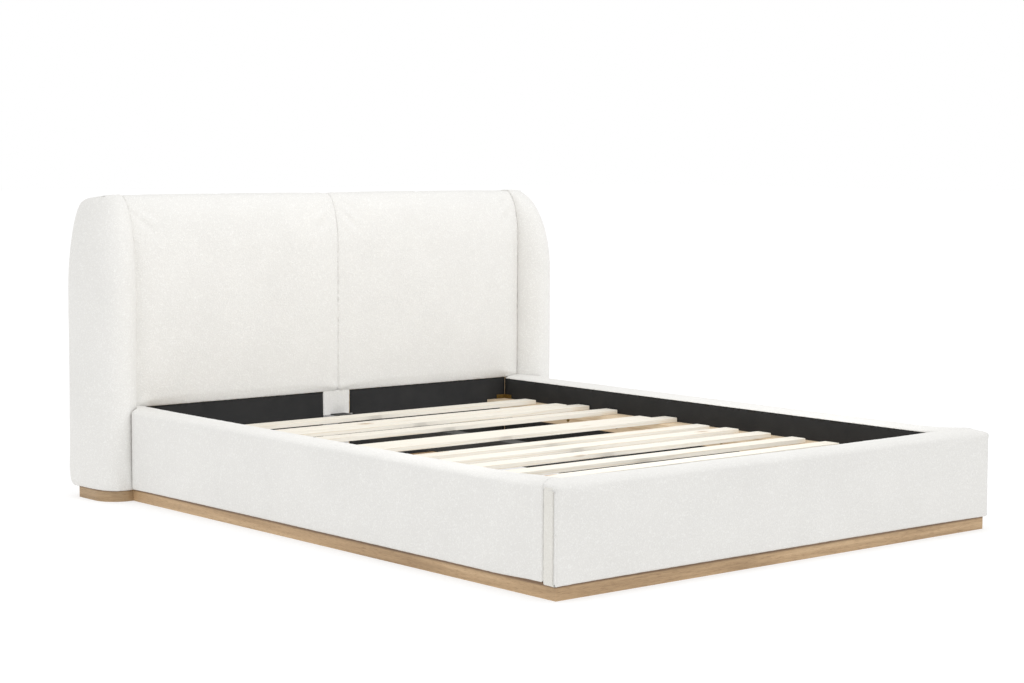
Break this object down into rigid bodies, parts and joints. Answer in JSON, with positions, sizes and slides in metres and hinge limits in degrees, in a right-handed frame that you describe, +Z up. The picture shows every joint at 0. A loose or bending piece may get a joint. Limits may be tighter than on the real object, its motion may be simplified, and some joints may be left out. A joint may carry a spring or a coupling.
{
  "type": "upholstered bed frame",
  "caption": "Upholstered bed frame: headboard with a seam between two pads and bolster wings, mattress recess with loose slats, and an oak plinth.",
  "frame": {"origin": "on the floor under the middle of the whole bed", "axes": "+X to the right when looking from the foot to the head, +Y towards the headboard, +Z up"},
  "size_m": [1.98, 2.32, 0.992],
  "materials": {
    "boucle": "off-white boucle",
    "black_lining": "matt black non-woven lining",
    "oak": "light oak, matt lacquer",
    "pine": "planed pine, unfinished",
    "plywood": "plywood, unfinished",
    "frame_timber": "sawn softwood",
    "black_timber": "timber painted matt black",
    "yellow_zinc": "yellow zinc plate",
    "zinc_steel": "bright zinc plate",
    "black_plastic": "moulded plastic"
  },
  "bodies": {
    "frame": {"beam_hanger_foot": "zinc_steel", "beam_hanger_head": "zinc_steel", "bracket_screws": "zinc_steel", "centre_beam": "black_timber", "centre_leg_foot": "black_timber", "centre_leg_head": "black_timber", "corner_brackets": "yellow_zinc", "foot_corner_strip_left": "boucle", "foot_corner_strip_right": "boucle", "foot_plinth": "oak", "foot_rail_core": "frame_timber", "foot_rail_cover": "boucle", "foot_rail_lining": "black_lining", "hanger_screws": "zinc_steel", "head_centre_strip": "boucle", "head_lining_left": "black_lining", "head_lining_right": "black_lining", "headboard_back_board": "plywood", "headboard_back_cover": "boucle", "headboard_bottom_rail": "frame_timber", "headboard_centre_post": "frame_timber", "headboard_front_board": "plywood", "headboard_front_pad_left": "boucle", "headboard_front_pad_right": "boucle", "headboard_middle_rail": "frame_timber", "headboard_plinth_back": "oak", "headboard_plinth_left": "oak", "headboard_plinth_right": "oak", "headboard_post_left": "frame_timber", "headboard_post_right": "frame_timber", "headboard_top_rail": "frame_timber", "headboard_wing_left": "boucle", "headboard_wing_right": "boucle", "ledge_screws": "zinc_steel", "side_plinth_left": "oak", "side_plinth_right": "oak", "side_rail_core_left": "frame_timber", "side_rail_core_right": "frame_timber", "side_rail_cover_left": "boucle", "side_rail_cover_right": "boucle", "side_rail_lining_left": "black_lining", "side_rail_lining_right": "black_lining", "slat_ledge_left": "pine", "slat_ledge_right": "pine"},
    "slats": {"slat_01": "pine", "slat_02": "pine", "slat_03": "pine", "slat_04": "pine", "slat_05": "pine", "slat_06": "pine", "slat_07": "pine", "slat_08": "pine", "slat_09": "pine", "slat_10": "pine", "slat_11": "pine", "slat_12": "pine", "slat_13": "pine"},
    "levelling_foot_at_head": {"levelling_foot_head": "black_plastic"},
    "levelling_foot_at_foot": {"levelling_foot_foot": "black_plastic"}
  },
  "joints": [
    {"name": "slats_lift", "type": "slide", "parent": "frame", "child": "slats", "axis": [0, 0, 1], "range_m": [0, 0.3]},
    {"name": "levelling_at_head", "type": "slide", "parent": "frame", "child": "levelling_foot_at_head", "axis": [0, 0, -1], "range_m": [0, 0.012]},
    {"name": "levelling_at_foot", "type": "slide", "parent": "frame", "child": "levelling_foot_at_foot", "axis": [0, 0, -1], "range_m": [0, 0.012]}
  ]
}
